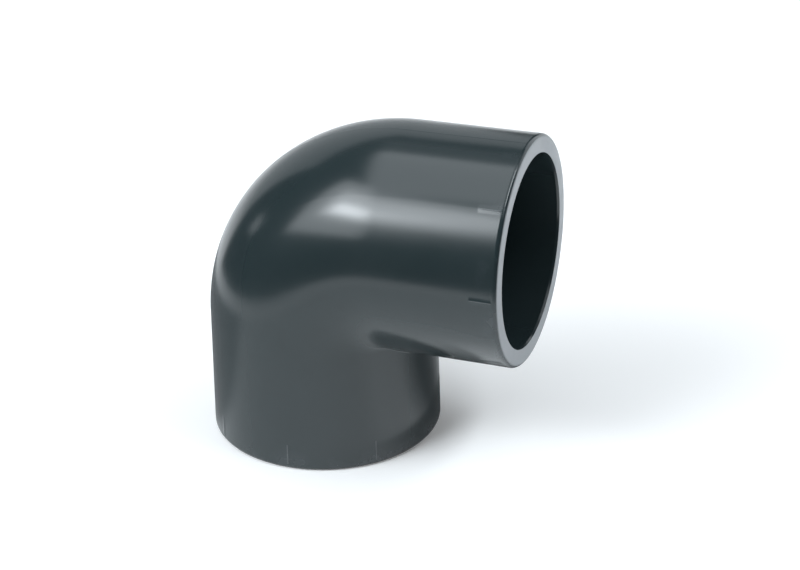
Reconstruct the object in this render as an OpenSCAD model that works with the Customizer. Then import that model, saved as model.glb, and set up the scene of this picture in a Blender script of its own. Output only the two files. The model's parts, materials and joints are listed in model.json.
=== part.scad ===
// 90 degree solvent-weld elbow for 63 mm pressure pipe.
// One injection moulding: two equal sockets joined by a bend that is swept on
// its outside (the heel) and mitred on its inside (the crotch).
// The origin is the centre of the lower mouth. The lower socket stands on +Z
// and the outlet socket opens towards +X. Millimetres.

/* [Pipe] */
// Outside diameter of the pipes that are cemented into both sockets
pipe_d = 63; // [62:0.5:64]
// Diametral gap between pipe and socket for the solvent cement
cement_gap = 0.2; // [0.1:0.05:0.4]
// Depth of each socket, from the mouth to the pipe stop
socket_depth = 38; // [30:0.5:40]
// Diameter of the waterway behind the pipe stops
waterway_d = 58; // [50:0.5:60]

/* [Body] */
// Outside diameter of each socket at its mouth
mouth_d = 76; // [74:0.5:80]
// Distance from the other socket's axis to each mouth
leg = 72; // [70:0.5:80]
// Radius of the bend's centreline
bend_radius = 30.5; // [30.5:0.5:32]
// Mould draft of the outer wall, in degrees a side
draft_angle = 0.57; // [0.2:0.01:1]

/* [Mouth] */
// Radius of the mouth's rounded outer edge
edge_round = 1.5; // [0.4:0.1:1.5]
// Widening of the bore at the mouth, a side
entry_flare = 0.4; // [0.2:0.1:1]
// Depth of that entry chamfer
entry_depth = 0.8; // [0.5:0.1:3]

/* [Alignment ribs] */
// Angle between neighbouring ribs, which stand clear of the parting plane
rib_step = 45; // [30, 45, 60]
// Distance from the mouth to each rib's near end
rib_start = 1.8; // [1.6:0.1:4]
// Length of each rib
rib_length = 7.2; // [4:0.1:10]
// Width of each rib
rib_width = 0.4; // [0.3:0.1:1.2]
// Height of each rib above the wall
rib_height = 0.15; // [0.1:0.05:0.6]

/* [Hidden] */
$fn = 96;

mouth_r = mouth_d / 2;
bore_r = (pipe_d + cement_gap) / 2;
waterway_r = waterway_d / 2;
bend_start = leg - bend_radius;
bend_r = mouth_r - bend_start * tan(draft_angle);
edge_steps = 6;
rib_root = 0.5;
overrun = 1;
body_color = [0.29, 0.32, 0.34];

// Centre of the rounded outer edge, touching the mouth plane and the drafted wall
edge_centre_r = mouth_r - edge_round / cos(draft_angle) - edge_round * tan(draft_angle);

// Points of the rounded outer edge, from the mouth plane to the drafted wall
function edge_points() = [
    for (i = [0 : edge_steps])
        let (a = -90 + i * (90 + draft_angle) / edge_steps)
        [edge_centre_r + edge_round * cos(a), edge_round + edge_round * sin(a)]
];

// Solid outside of one leg: mouth face, rounded edge and drafted wall
module leg_skin() {
    rotate_extrude()
        polygon(concat(
            [[0, 0]],
            edge_points(),
            [[bend_r, bend_start], [0, bend_start]]
        ));
}

// Inside of one leg: entry chamfer, socket, pipe stop and straight waterway
module leg_core() {
    flare = entry_flare / entry_depth;
    rotate_extrude()
        polygon([
            [0, -overrun],
            [bore_r + entry_flare + overrun * flare, -overrun],
            [bore_r, entry_depth],
            [bore_r, socket_depth],
            [waterway_r, socket_depth],
            [waterway_r, bend_start],
            [0, bend_start]
        ]);
}

// Quarter turn of a round section about the bend's pivot, cut off at the pivot
module bend(r) {
    translate([bend_radius, 0, bend_start])
        rotate([90, 0, 0])
            rotate([0, 0, 90])
                rotate_extrude(angle = 90)
                    intersection() {
                        translate([bend_radius, 0]) circle(r = r);
                        translate([0, -r]) square([bend_radius + r, 2 * r]);
                    }
}

// One raised alignment rib on a leg's wall, at angle a about the leg's axis
module rib(a) {
    rotate([0, 0, a])
        translate([mouth_r, 0, 0])
            rotate([0, -draft_angle, 0])
                translate([-rib_root, -rib_width / 2, rib_start])
                    cube([rib_root + rib_height, rib_width, rib_length]);
}

// The ribs of one leg, on both sides of the parting plane
module leg_ribs() {
    for (side = [0, 180])
        for (a = [rib_step : rib_step : 180 - rib_step])
            rib(side + a);
}

// Keeps the lower leg's side of the plane through both axes' corner, where the
// two legs meet in the crotch
module mitred() {
    intersection() {
        children();
        translate([leg, 0, 0])
            rotate([0, -45, 0])
                translate([-4 * leg, -2 * leg, -2 * leg])
                    cube(4 * leg);
    }
}

// Mirrors a shape of the lower leg across the mitre plane, to make the outlet:
// its mouth faces +X and its axis is at the height of leg
module as_outlet() {
    translate([leg, 0, leg])
        mirror([1, 0, 0])
            rotate([0, 90, 0])
                children();
}

module elbow_body() {
    color(body_color)
        difference() {
            union() {
                mitred() leg_skin();
                as_outlet() mitred() leg_skin();
                bend(bend_r);
                leg_ribs();
                as_outlet() leg_ribs();
            }
            leg_core();
            as_outlet() leg_core();
            bend(waterway_r);
        }
}

elbow_body();
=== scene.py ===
"""Looks of a dark grey PVC pressure-pipe elbow: one satin moulding, its studio and its camera.

The elbow stands on its lower mouth, whose centre is the origin. The lower leg runs up +Z, and the
outlet leg runs along +X at the height of LEG. Shape work is in millimetres, like a fitter's
drawing, and Blender gets metres.
"""

import json
import math

import bpy
import numpy as np
from mathutils import Matrix, Vector


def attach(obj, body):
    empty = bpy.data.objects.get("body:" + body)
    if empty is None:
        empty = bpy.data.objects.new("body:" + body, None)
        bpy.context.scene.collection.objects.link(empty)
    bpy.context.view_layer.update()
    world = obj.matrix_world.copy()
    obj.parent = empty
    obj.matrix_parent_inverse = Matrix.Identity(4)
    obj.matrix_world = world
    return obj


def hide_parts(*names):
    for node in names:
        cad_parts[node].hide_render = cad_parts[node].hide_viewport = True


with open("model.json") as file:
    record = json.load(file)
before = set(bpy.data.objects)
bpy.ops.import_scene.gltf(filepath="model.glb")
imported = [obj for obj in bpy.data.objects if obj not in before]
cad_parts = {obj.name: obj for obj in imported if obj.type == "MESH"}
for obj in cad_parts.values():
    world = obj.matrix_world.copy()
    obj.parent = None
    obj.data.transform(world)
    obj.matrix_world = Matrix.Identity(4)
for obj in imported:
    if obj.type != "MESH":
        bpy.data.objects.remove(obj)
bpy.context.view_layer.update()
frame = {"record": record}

MM = 0.001
NODE = "elbow_body"
MOUNTS = {m["name"]: m for m in frame["record"]["mounts"]}

# ---------------------------------------------------------------- sizes, in mm

LEG = MOUNTS["outlet_socket"]["pos_m"][2] / MM  # from one axis to the other mouth
BORE_R = MOUNTS["outlet_socket"]["dims"]["r_mm"]
MOUTH_R = 38.0  # outside of each socket at its mouth
DRAFT = math.tan(math.radians(0.57))  # the wall narrows this much per mm of depth
BEND_RADIUS = 30.5  # of the bend's centreline
BEND_START = LEG - BEND_RADIUS
BEND_R = MOUTH_R - DRAFT * BEND_START
SOCKET_DEPTH = 38.0
WATERWAY_R = 29.0

CROTCH_FILLET = 1.4  # where the two legs meet, at its largest
EDGE_ROUND = 1.5  # outer edge of each mouth
ENTRY_FLARE = 0.4
ENTRY_DEPTH = 0.8
STOP_ROUND = 0.4  # inner edge of the pipe stop
STOP_CORNER = 0.3  # where the stop meets the socket wall
BREAK_EDGE = 0.12  # the tiny round on the sharper mouth edges
PALE_RIM_DEPTH = 0.25  # how far down the rounded edge the pale rim shows, painted pale partly for the strong light from the right on it
WORN_DEPTH = 6.0  # how far from the mouth the wall is scuffed by handling

RIB_ANGLES = [45, 90, 135, 225, 270, 315]  # from the crotch side, about the leg's axis
RIB_START = 1.8
RIB_LENGTH = 7.2
RIB_WIDTH = 0.32
RIB_HEIGHT = 0.07
RIB_FLANK = 0.1  # how far each side of a rib slopes
PAINTED_GLINT = 0.14  # how far a rib's crest is painted towards the pale rim colour: a painted glint along the rib

PARTING_ANGLES = [0, 180]  # the two mould halves part on the plane of both axes
PARTING_HALF_WIDTH = 0.13
PARTING_HEIGHT = 0.035

RING_STEP = 2.5  # degrees between the lines along the moulding
LEG_STEP = 2.0  # between the rings on a leg's drafted wall
LEAST_GAP = 0.45  # of a step, between an even line and an extra one
FAN_STEPS = 34  # rings from the end of a leg to the mitre plane
BEND_STEPS = 26  # rings of the waterway's bend, as far as the mitre plane
WALL_STEPS = 16  # rings down a socket's wall
RIM_STEPS = 5  # rings across the flat rim
EDGE_STEPS = 12  # rings round a mouth's outer edge
CAST_STEPS = 48  # halvings when a ray looks for the skin


# ---------------------------------------------------------------- outer skin as a distance

def round_union(a, b, radius):
    """Distance to the union of two solids, with a fillet of this radius in their corner."""
    in_a = np.maximum(radius - a, 0)
    in_b = np.maximum(radius - b, 0)
    return np.maximum(radius, np.minimum(a, b)) - np.hypot(in_a, in_b)


def skin_distance(p):
    """Distance from each point to the elbow's outer skin, below 0 inside. The mouths are left open."""
    x, y, z = p[..., 0], p[..., 1], p[..., 2]
    lower = np.hypot(x, y) - (MOUTH_R - DRAFT * np.clip(z, 0, BEND_START))
    outlet = np.hypot(z - LEG, y) - (MOUTH_R - DRAFT * np.clip(LEG - x, 0, BEND_START))
    to_pivot = np.hypot(BEND_RADIUS - x, z - BEND_START)
    bend = np.hypot(to_pivot - BEND_RADIUS, y) - BEND_R
    # the crease dies out where the legs pass the bend's pivot, and its fillet with it
    crease_end = math.sqrt(BEND_R**2 - BEND_RADIUS**2)
    fillet = CROTCH_FILLET * (1 - (y / crease_end) ** 2)
    corner = round_union(lower, outlet, np.maximum(fillet, 1e-6))
    past_lower = z > BEND_START
    past_outlet = x < BEND_RADIUS
    return np.where(
        past_lower & past_outlet, bend,
        np.where(past_lower, outlet, np.where(past_outlet, lower, corner)),
    )


def cast(centre, directions):
    """Where rays from a centre inside the elbow leave its outer skin."""
    near = np.zeros(len(directions))
    far = np.full(len(directions), 3 * MOUTH_R)
    for _ in range(CAST_STEPS):
        middle = (near + far) / 2
        inside = skin_distance(centre + directions * middle[:, None]) < 0
        near = np.where(inside, middle, near)
        far = np.where(inside, far, middle)
    return centre + directions * near[:, None]


# ---------------------------------------------------------------- the lines of the mesh

def refined(steps, places, offsets, clearance):
    """Even steps, with extra lines at these offsets from each place, and no step left too near one."""
    fine = np.sort(np.concatenate([place + np.asarray(offsets) for place in places]))
    gaps = np.abs(steps[:, None] - fine[None, :]).min(axis=1)
    return np.sort(np.concatenate([steps[gaps > clearance], fine]))


def both_sides(distances):
    return sorted([-d for d in distances] + [0.0] + list(distances))


def ring_angles():
    """Angles round a leg, from its crotch side: even, and close together at ribs and parting line."""
    per_mm = math.degrees(1 / MOUTH_R)
    half = RIB_WIDTH / 2
    rib = both_sides([half - RIB_FLANK, half - RIB_FLANK / 2, half, half + RIB_FLANK])
    parting = both_sides([PARTING_HALF_WIDTH / 2, PARTING_HALF_WIDTH, 3 * PARTING_HALF_WIDTH])
    angles = np.arange(0, 360, RING_STEP)
    angles = refined(angles, RIB_ANGLES, np.array(rib) * per_mm, RING_STEP * LEAST_GAP)
    seam = np.array(parting) * per_mm
    angles = refined(angles, PARTING_ANGLES + [360], seam, RING_STEP * LEAST_GAP)
    return angles[(angles >= 0) & (angles < 360 - 1e-9)]


def leg_stations(end):
    """Depths of the rings on a leg's drafted wall, from its mouth edge to this depth."""
    ends = [RIB_START, RIB_START + RIB_LENGTH]
    rib_ends = both_sides([RIB_FLANK / 2, RIB_FLANK])
    steps = np.arange(EDGE_ROUND + LEG_STEP, end - 0.5, LEG_STEP)
    lines = refined(steps, ends, rib_ends, 0.35)
    return np.concatenate([[EDGE_ROUND + 0.06], lines[lines > EDGE_ROUND + 0.1], [end]])


ANGLES = np.radians(ring_angles())
COS, SIN = np.cos(ANGLES), np.sin(ANGLES)


def away_from(places, turn=360):
    """Distance in degrees from each line of the mesh to the nearest of these angles."""
    gap = np.abs(np.degrees(ANGLES)[:, None] - np.asarray(places)[None, :]) % turn
    return np.minimum(gap, turn - gap).min(axis=1)


def ramp(distance, edge, flank):
    """1 inside an edge, 0 past its flank, and a soft slope between."""
    t = np.clip((edge - distance) / flank + 0.5, 0, 1)
    return t * t * (3 - 2 * t)


RIB_ACROSS = ramp(np.radians(away_from(RIB_ANGLES)) * MOUTH_R, RIB_WIDTH / 2, 2 * RIB_FLANK)
SEAM_ACROSS = np.clip(
    1 - np.radians(away_from(PARTING_ANGLES)) * MOUTH_R / PARTING_HALF_WIDTH, 0, 1)


def rib_crest(depth):
    """1 on the ribs' crests and 0 off the ribs, round a leg at this depth."""
    middle = RIB_START + RIB_LENGTH / 2
    return ramp(abs(depth - middle), RIB_LENGTH / 2, 2 * RIB_FLANK) * RIB_ACROSS


def relief(depth):
    """Height of ribs and parting line above the wall, round a leg at this depth."""
    return np.maximum(RIB_HEIGHT * rib_crest(depth), PARTING_HEIGHT * SEAM_ACROSS)


# ---------------------------------------------------------------- rings

def ring(radius, depth):
    """A ring round the lower leg. The radius may differ from line to line."""
    return np.stack([radius * COS, -radius * SIN, np.full(len(ANGLES), float(depth))], axis=1)


def mirrored(points):
    """The same ring on the other leg, across the mitre plane."""
    return np.stack([LEG - points[:, 2], points[:, 1], LEG - points[:, 0]], axis=1)


def arc(centre_r, centre_z, radius, start, end, steps):
    """(radius, depth) pairs along an arc of the leg's profile. Angles in degrees."""
    turn = np.radians(np.linspace(start, end, steps + 1))
    return [(centre_r + radius * math.cos(a), centre_z + radius * math.sin(a)) for a in turn]


def inside_profile():
    """(radius, depth) pairs from the waterway, over the pipe stop, down the socket to its rim."""
    slope = math.degrees(math.atan2(ENTRY_DEPTH, ENTRY_FLARE))
    waterway = [(WATERWAY_R, z) for z in (BEND_START - 1.0, SOCKET_DEPTH + STOP_ROUND + 0.3)]
    stop = arc(WATERWAY_R + STOP_ROUND, SOCKET_DEPTH + STOP_ROUND, STOP_ROUND, 180, 270, 5)
    ledge = [(WATERWAY_R + STOP_ROUND + 0.2, SOCKET_DEPTH), (BORE_R - STOP_CORNER - 0.2, SOCKET_DEPTH)]
    corner = arc(BORE_R - STOP_CORNER, SOCKET_DEPTH - STOP_CORNER, STOP_CORNER, 90, 0, 4)
    wall_end = ENTRY_DEPTH + BREAK_EDGE
    wall = [(BORE_R, z) for z in np.linspace(SOCKET_DEPTH - 0.6, wall_end + 0.15, WALL_STEPS)]
    edge = [(BORE_R, wall_end), (BORE_R + 0.02, ENTRY_DEPTH - 0.02)]
    flare = [(BORE_R + ENTRY_FLARE - 0.06, BREAK_EDGE + 0.02)]
    lip = arc(BORE_R + ENTRY_FLARE + BREAK_EDGE / 2, BREAK_EDGE, BREAK_EDGE, 180 + 90 - slope, 270, 3)
    return waterway + stop + ledge + corner + wall + edge + flare + lip


def outside_profile():
    """(radius, depth) pairs from the flat rim round the mouth's outer edge."""
    draft = math.degrees(math.atan(DRAFT))
    centre = MOUTH_R - EDGE_ROUND * (1 / math.cos(math.radians(draft)) + DRAFT)
    flat = [(r, 0.0) for r in np.linspace(BORE_R + ENTRY_FLARE + 0.35, centre - 0.15, RIM_STEPS)]
    return flat + arc(centre, EDGE_ROUND, EDGE_ROUND, -90, draft, EDGE_STEPS)


def bend_rings(steps):
    """Rings of the waterway's bend, from the mitre plane to the leg."""
    rings = []
    for turn in np.radians(np.linspace(45, 0, steps)):
        centre = np.array([
            BEND_RADIUS * (1 - math.cos(turn)), 0, BEND_START + BEND_RADIUS * math.sin(turn)])
        inwards = np.array([math.cos(turn), 0, -math.sin(turn)])
        sideways = np.array([0, -1, 0])
        rings.append(centre + WATERWAY_R * (COS[:, None] * inwards + SIN[:, None] * sideways))
    return rings


def fan_rings():
    """Rings of the outer skin, from the leg to the mitre plane.

    They lie in planes that turn about the middle of the crotch fillet, outside the elbow.
    """
    crotch_r = (MOUTH_R - DRAFT * LEG) / (1 - DRAFT)
    hub = np.array([crotch_r + CROTCH_FILLET, 0, LEG - crotch_r - CROTCH_FILLET])
    pivot = np.array([BEND_RADIUS, 0, BEND_START])
    sideways = np.array([0, -1, 0])
    rings = []
    for turn in np.radians(np.linspace(0, 45, FAN_STEPS + 1)):
        outwards = np.array([-math.cos(turn), 0, math.sin(turn)])
        centre = hub + outwards * hub[0] / math.cos(turn)
        if centre[2] > BEND_START:
            gap = hub - pivot
            along = gap @ outwards
            reach = math.sqrt(along**2 - gap @ gap + BEND_RADIUS**2) - along
            centre = hub + outwards * reach
        directions = COS[:, None] * -outwards + SIN[:, None] * sideways
        skin = cast(centre, directions)
        rings.append(skin + directions * (PARTING_HEIGHT * SEAM_ACROSS)[:, None])
    return hub[2], rings


def elbow_rings():
    """Every ring of the closed moulding, how pale it is painted (the rim, partly as painted light, and
    the rib crests as a painted glint), and its wear.
    """
    leg_end, fan = fan_rings()
    half, pale_and_painted_light, worn = [], [], []

    def add(points, paleness, wear):
        half.append(points)
        pale_and_painted_light.append(paleness + np.zeros(len(ANGLES)))
        worn.append(wear + np.zeros(len(ANGLES)))

    for points in bend_rings(BEND_STEPS):
        add(points, 0, 0)
    # the mouth's rim, inner lip to outer edge, is painted pale: partly a paler faced finish, partly
    # painted light from the right
    for radius, depth in inside_profile():
        add(ring(radius, depth), float(depth <= BREAK_EDGE), 0)
    for radius, depth in outside_profile():
        add(ring(radius, depth), max(0.0, 1 - depth / PALE_RIM_DEPTH), 1)
    for depth in leg_stations(leg_end)[:-1]:
        wear = max(0.0, 1 - (depth - EDGE_ROUND) / WORN_DEPTH)
        # the rib crests are painted pale: a painted glint
        add(ring(MOUTH_R - DRAFT * depth + relief(depth), depth), PAINTED_GLINT * rib_crest(depth), wear)
    for points in fan:
        add(points, 0, 0)
    other = [mirrored(points) for points in half[-2:0:-1]]
    return half + other, pale_and_painted_light + pale_and_painted_light[-2:0:-1], worn + worn[-2:0:-1]


def build_elbow():
    """The whole moulding as one closed mesh of four-sided faces."""
    rings, pale_and_painted_light, worn = elbow_rings()
    points = np.concatenate(rings) * MM
    count, width = len(rings), len(ANGLES)
    index = np.arange(count * width).reshape(count, width)
    above = np.roll(index, -1, axis=0)
    faces = np.stack(
        [index, np.roll(index, -1, axis=1), np.roll(above, -1, axis=1), above], axis=-1).reshape(-1, 4)
    corners = points[faces]
    volume = np.einsum(
        "ij,ij->i", corners[:, 0], np.cross(corners[:, 1], corners[:, 2])).sum() + np.einsum(
        "ij,ij->i", corners[:, 0], np.cross(corners[:, 2], corners[:, 3])).sum()
    if volume < 0:
        faces = faces[:, ::-1]
    mesh = bpy.data.meshes.new("elbow_moulding")
    mesh.from_pydata(points.tolist(), [], faces.tolist())
    mesh.polygons.foreach_set("use_smooth", np.ones(len(faces), bool))
    for name, values in (("pale_and_painted_light", pale_and_painted_light), ("worn", worn)):
        layer = mesh.attributes.new(name, "FLOAT", "POINT")
        layer.data.foreach_set("value", np.concatenate(values).astype(np.float32))
    mesh.update()
    piece = bpy.data.objects.new("elbow_moulding", mesh)
    bpy.context.scene.collection.objects.link(piece)
    return piece


# ---------------------------------------------------------------- material

class Nodes:
    """Short names for adding and joining the nodes of one material."""

    def __init__(self, material):
        material.use_nodes = True
        self.tree = material.node_tree
        self.shader = self.tree.nodes["Principled BSDF"]

    def add(self, kind, inputs=None, **settings):
        node = self.tree.nodes.new(kind)
        for key, value in settings.items():
            setattr(node, key, value)
        for key, value in (inputs or {}).items():
            self.feed(node.inputs[key], value)
        return node

    def feed(self, socket, value):
        if isinstance(value, bpy.types.NodeSocket):
            self.tree.links.new(value, socket)
        else:
            socket.default_value = value

    def math(self, operation, a, b=0.0):
        return self.add("ShaderNodeMath", {0: a, 1: b}, operation=operation).outputs[0]

    def spread(self, value, low, high, to_low, to_high):
        """Maps a value's range to another, held at the ends."""
        inputs = {"Value": value, "From Min": low, "From Max": high, "To Min": to_low, "To Max": to_high}
        return self.add("ShaderNodeMapRange", inputs).outputs["Result"]

    def noise(self, where, scale, detail=3.0, roughness=0.5):
        inputs = {"Vector": where, "Scale": scale, "Detail": detail, "Roughness": roughness}
        return self.add("ShaderNodeTexNoise", inputs).outputs["Fac"]

    def attribute(self, name):
        return self.add("ShaderNodeAttribute", attribute_name=name).outputs["Fac"]

    def mix_colour(self, factor, a, b):
        node = self.add("ShaderNodeMix", data_type="RGBA")
        self.feed(node.inputs[0], factor)
        self.feed(node.inputs[6], a)
        self.feed(node.inputs[7], b)
        return node.outputs[2]


PVC_COLOUR = (0.0165, 0.0262, 0.0285, 1)
PVC_LIGHTER = (0.0195, 0.0295, 0.0320, 1)
PVC_SCUFFED = (0.045, 0.056, 0.062, 1)
# pale colour of the rims, partly a paler faced finish and partly painted light for the strong light from
# the right; also the rib crests' painted glint
PVC_PALE_AND_PAINTED_LIGHT = (0.360, 0.378, 0.395, 1)
PVC_IOR = 1.55
PVC_ROUGHNESS = (0.185, 0.215)  # least and most, over the clouding
WORN_COLOUR = 0.5  # how far full wear goes towards the scuffed colour
WORN_ROUGHNESS = 0.12  # added where the wall is scuffed
PALE_ROUGHNESS = 0.25  # added on the pale rims and rib crests
CLOUD_SCALE, PATCH_SCALE, PEEL_SCALE, GRAIN_SCALE = 26, 90, 260, 1500  # noise cells per metre
PEEL_SHARE, GRAIN_SHARE = 0.85, 0.15
RELIEF_STRENGTH, RELIEF_DEPTH = 0.1, 0.00002


def pvc():
    """Satin rigid PVC as it leaves the mould: faint clouding, fine orange peel and scuffs, with pale rims
    partly painted as light and painted glints on the rib crests.
    """
    material = bpy.data.materials.new("pvc_satin")
    n = Nodes(material)
    where = n.add("ShaderNodeTexCoord").outputs["Object"]
    clouds = n.noise(where, CLOUD_SCALE, 4)
    grain = n.noise(where, GRAIN_SCALE, 2)
    peel = n.noise(where, PEEL_SCALE, 2)
    pale_and_painted_light = n.attribute("pale_and_painted_light")
    worn = n.attribute("worn")

    patches = n.spread(n.noise(where, PATCH_SCALE, 5, 0.6), 0.50, 0.66, 0, 1)
    wear = n.math("MULTIPLY", worn, patches)
    colour = n.mix_colour(n.spread(clouds, 0.35, 0.65, 0, 1), PVC_COLOUR, PVC_LIGHTER)
    colour = n.mix_colour(n.math("MULTIPLY", wear, WORN_COLOUR), colour, PVC_SCUFFED)
    # painted light: rims paler partly for the light from the right on them, rib crests paler as a painted
    # glint
    colour = n.mix_colour(pale_and_painted_light, colour, PVC_PALE_AND_PAINTED_LIGHT)
    n.feed(n.shader.inputs["Base Color"], colour)

    rough = n.spread(clouds, 0.3, 0.7, *PVC_ROUGHNESS)
    rough = n.math("ADD", rough, n.math("MULTIPLY", wear, WORN_ROUGHNESS))
    rough = n.math("ADD", rough, n.math("MULTIPLY", pale_and_painted_light, PALE_ROUGHNESS))
    n.feed(n.shader.inputs["Roughness"], rough)

    height = n.math(
        "ADD", n.math("MULTIPLY", peel, PEEL_SHARE), n.math("MULTIPLY", grain, GRAIN_SHARE))
    bump = n.add(
        "ShaderNodeBump", {"Strength": RELIEF_STRENGTH, "Distance": RELIEF_DEPTH, "Height": height})
    n.feed(n.shader.inputs["Normal"], bump.outputs[0])
    n.shader.inputs["IOR"].default_value = PVC_IOR
    return material


def plain(name, settings):
    """A material with these uniform settings, and its nodes."""
    material = bpy.data.materials.new(name)
    n = Nodes(material)
    for socket, value in settings.items():
        n.shader.inputs[socket].default_value = value
    return material, n


PALE_FLOOR = {
    "Base Color": (0.9, 0.9, 0.9, 1), "Roughness": 0.9, "Specular IOR Level": 0.1,
    "Emission Color": (1, 1, 1, 1), "Emission Strength": 0.16}
BLACK_CLOTH = {"Base Color": (0.004, 0.004, 0.004, 1), "Roughness": 1.0, "Specular IOR Level": 0.0}
NO_SURFACE = {"Base Color": (0, 0, 0, 1), "Specular IOR Level": 0.0}


# ---------------------------------------------------------------- studio

def direction(azimuth, elevation):
    """Unit vector this many degrees left (-) or right (+) of the front, and above the floor."""
    a, e = math.radians(azimuth), math.radians(elevation)
    return Vector((math.sin(a) * math.cos(e), -math.cos(a) * math.cos(e), math.sin(e)))


AIM = Vector((17, 0, 55)) * MM  # the middle of the elbow
PANELS = [
    # name, azimuth, elevation, distance, width, height, radiance
    ("key_softbox", -43, 39.0, 1.60, 1.16, 1.23, 3.1),
    ("key_middle", -38, 43, 1.58, 0.79, 0.61, 4.0),
    ("key_core", -38, 39, 1.56, 0.49, 0.22, 12.0),
    ("top_left", -90, 77.6, 1.60, 1.28, 0.72, 2.1),
    ("top_right", 90, 77.6, 1.60, 1.28, 0.72, 0.9),
    ("top_rear", 180, 62, 1.60, 1.30, 0.70, 0.3),
    ("left_wall", -140, 14, 1.90, 1.77, 1.85, 0.65),
    ("left_strip", -93, 5, 1.90, 0.26, 0.50, 1.5),
    ("rear_wall", 150, 15, 1.90, 1.80, 1.60, 1.2),
    ("right_strip", 97, 54, 1.60, 1.10, 0.35, 9.0),
]
AIR_GLOW = 0.03  # faint light from everywhere else
LIGHT_COLOUR = (0.94, 1.0, 1.045)

FLOOR_HALF = 4.0
FLAG_RADIUS = 0.245
FLAG_HEIGHT = 0.10
FLAG_FROM, FLAG_TO = -110, 130  # degrees from the front
STAGE_STEP = 5  # degrees between the corners of the flag and the rings

# How bright the table looks in the elbow's wall: (degrees from the front towards the right, radiance)
# A painted reflection of the table: the dim stretch at the far right is the elbow's own shadow on it,
# painted in.
FOOT_GLOW = [
    (-90, 0.3), (-68, 0.45), (-54, 1.0), (18, 1.2), (50, 1.1), (60, 0.8), (70, 0.55), (80, 0.3),
    (104, 0.1), (146, 0.1), (180, 0.3), (222, 0.25), (270, 0.3)]
TABLE_GLOW = [
    (-90, 0.34), (-68, 0.45), (-56, 1.0), (18, 1.2), (45, 1.2), (62, 1.4), (84, 1.15), (98, 0.45),
    (108, 0.15), (122, 0.16), (146, 0.45), (168, 1.1), (200, 0.6), (222, 0.3), (246, 0.28), (270, 0.36)]
CARD_LIFT = 0.0003
RINGS = [  # name, inner radius, outer radius, height above the floor, glow
    ("foot_card", 0.0385, 0.050, CARD_LIFT, FOOT_GLOW),
    ("table_card", 0.050, 0.170, CARD_LIFT, TABLE_GLOW),
]


def panel(name, azimuth, elevation, distance, width, height, radiance):
    """A soft rectangular light that faces the elbow. Its strength is its brightness when seen."""
    light = bpy.data.lights.new(name, "AREA")
    light.shape = "RECTANGLE"
    light.size, light.size_y = width, height
    light.energy = radiance * math.pi * width * height
    light.color = LIGHT_COLOUR
    lamp = bpy.data.objects.new(name, light)
    back = direction(azimuth, elevation)
    lamp.location = AIM + back * distance
    lamp.rotation_euler = back.to_track_quat("Z", "Y").to_euler()
    lamp.visible_camera = False
    bpy.context.scene.collection.objects.link(lamp)


def studio():
    """Every panel, and the faint light of the room."""
    for name, azimuth, elevation, distance, width, height, radiance in PANELS:
        panel(name, azimuth, elevation, distance, width, height, radiance)
    world = bpy.data.worlds.new("studio_air")
    world.use_nodes = True
    air = world.node_tree.nodes["Background"]
    air.inputs["Color"].default_value = (*LIGHT_COLOUR, 1)
    air.inputs["Strength"].default_value = AIR_GLOW
    bpy.context.scene.world = world


def floor():
    """A wide sheet of pale paper under the elbow."""
    half = FLOOR_HALF
    mesh = bpy.data.meshes.new("studio_floor")
    mesh.from_pydata(
        [(-half, -half, 0), (half, -half, 0), (half, half, 0), (-half, half, 0)], [], [(0, 1, 2, 3)])
    mesh.materials.append(plain("pale_floor", PALE_FLOOR)[0])
    sheet = bpy.data.objects.new("studio_floor", mesh)
    bpy.context.scene.collection.objects.link(sheet)


def flag():
    """A low black screen that hides the far floor from the elbow's reflections."""
    turns = [math.radians(a) for a in range(FLAG_FROM, FLAG_TO + 1, STAGE_STEP)]
    points = [
        (FLAG_RADIUS * math.sin(a), -FLAG_RADIUS * math.cos(a), z)
        for a in turns for z in (0, FLAG_HEIGHT)]
    faces = [(2 * i, 2 * i + 2, 2 * i + 3, 2 * i + 1) for i in range(len(turns) - 1)]
    mesh = bpy.data.meshes.new("black_flag")
    mesh.from_pydata(points, [], faces)
    mesh.materials.append(plain("black_cloth", BLACK_CLOTH)[0])
    seen_in_reflections(bpy.data.objects.new("black_flag", mesh))


def seen_in_reflections(card):
    """Puts a piece of the studio in, for the elbow's glossy reflections only."""
    card.visible_camera = card.visible_diffuse = card.visible_shadow = False
    card.visible_transmission = False
    bpy.context.scene.collection.objects.link(card)


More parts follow.
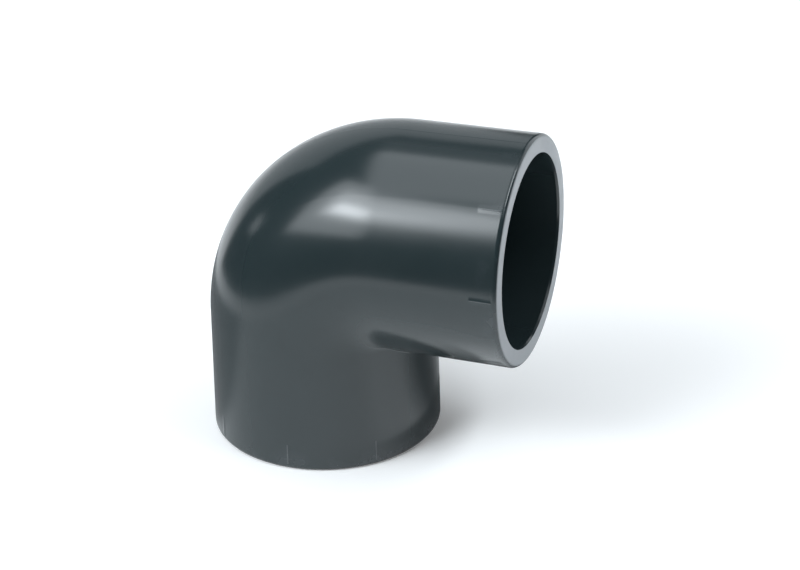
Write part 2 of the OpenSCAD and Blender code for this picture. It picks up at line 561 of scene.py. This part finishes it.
def glow_ring(name, inside, outside, lift, levels):
    """A glowing ring on the table, seen only in reflections: bright in front, dim left, and dim far right
    where it paints the elbow's own shadow.
    """
    turns = [math.radians(a) for a in range(0, 360, STAGE_STEP)]
    points = [(r * math.sin(a), -r * math.cos(a), lift) for a in turns for r in (inside, outside)]
    last = 2 * len(turns)
    faces = [(i, i + 1, (i + 3) % last, (i + 2) % last) for i in range(0, last, 2)]
    mesh = bpy.data.meshes.new(name)
    mesh.from_pydata(points, [], faces)
    glow, n = plain(name, NO_SURFACE)
    where = n.add("ShaderNodeTexCoord").outputs["Object"]
    around = n.add("ShaderNodeTexGradient", {"Vector": where}, gradient_type="RADIAL").outputs["Fac"]
    ramp_node = n.add("ShaderNodeValToRGB", {"Fac": around})
    peak = max(radiance for _, radiance in levels)
    stops = ramp_node.color_ramp.elements
    stops.remove(stops[1])
    for index, (turn, radiance) in enumerate(levels):
        place, level = (turn + 90) / 360, radiance / peak
        stop = stops.new(place) if index else stops[0]
        stop.position = place
        stop.color = (*(level * tint for tint in LIGHT_COLOUR), 1)
    n.feed(n.shader.inputs["Emission Color"], ramp_node.outputs["Color"])
    n.shader.inputs["Emission Strength"].default_value = peak
    mesh.materials.append(glow)
    seen_in_reflections(bpy.data.objects.new(name, mesh))


CAMERA_AZIMUTH = 19.72
CAMERA_ELEVATION = 27.77
CAMERA_ROLL = -1.46
CAMERA_DISTANCE = 1.0336
CAMERA_LENS = 137.5
CAMERA_NEAR = 0.05
AIM_RIGHT = 0.02427  # the picture's middle, from the lower mouth's centre
AIM_UP = 0.04329


def camera():
    """A long lens from the front right, looking down on the elbow."""
    back = direction(CAMERA_AZIMUTH, CAMERA_ELEVATION)
    level = Vector((math.cos(math.radians(CAMERA_AZIMUTH)), math.sin(math.radians(CAMERA_AZIMUTH)), 0))
    roll = math.radians(CAMERA_ROLL)
    right = math.cos(roll) * level + math.sin(roll) * back.cross(level)
    up = back.cross(right)
    data = bpy.data.cameras.new("camera")
    data.lens = CAMERA_LENS
    data.clip_start = CAMERA_NEAR
    eye = bpy.data.objects.new("camera", data)
    spot = AIM_RIGHT * right + AIM_UP * up + CAMERA_DISTANCE * back
    eye.matrix_world = Matrix((
        (right.x, up.x, back.x, spot.x),
        (right.y, up.y, back.y, spot.y),
        (right.z, up.z, back.z, spot.z),
        (0, 0, 0, 1),
    ))
    bpy.context.scene.collection.objects.link(eye)
    bpy.context.scene.camera = eye


# ---------------------------------------------------------------- the whole scene

elbow = build_elbow()
elbow.data.materials.append(pvc())
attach(elbow, "root")
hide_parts(NODE)

floor()
flag()
for ring_card in RINGS:
    glow_ring(*ring_card)
studio()
camera()
bpy.context.scene.view_settings.view_transform = "Standard"
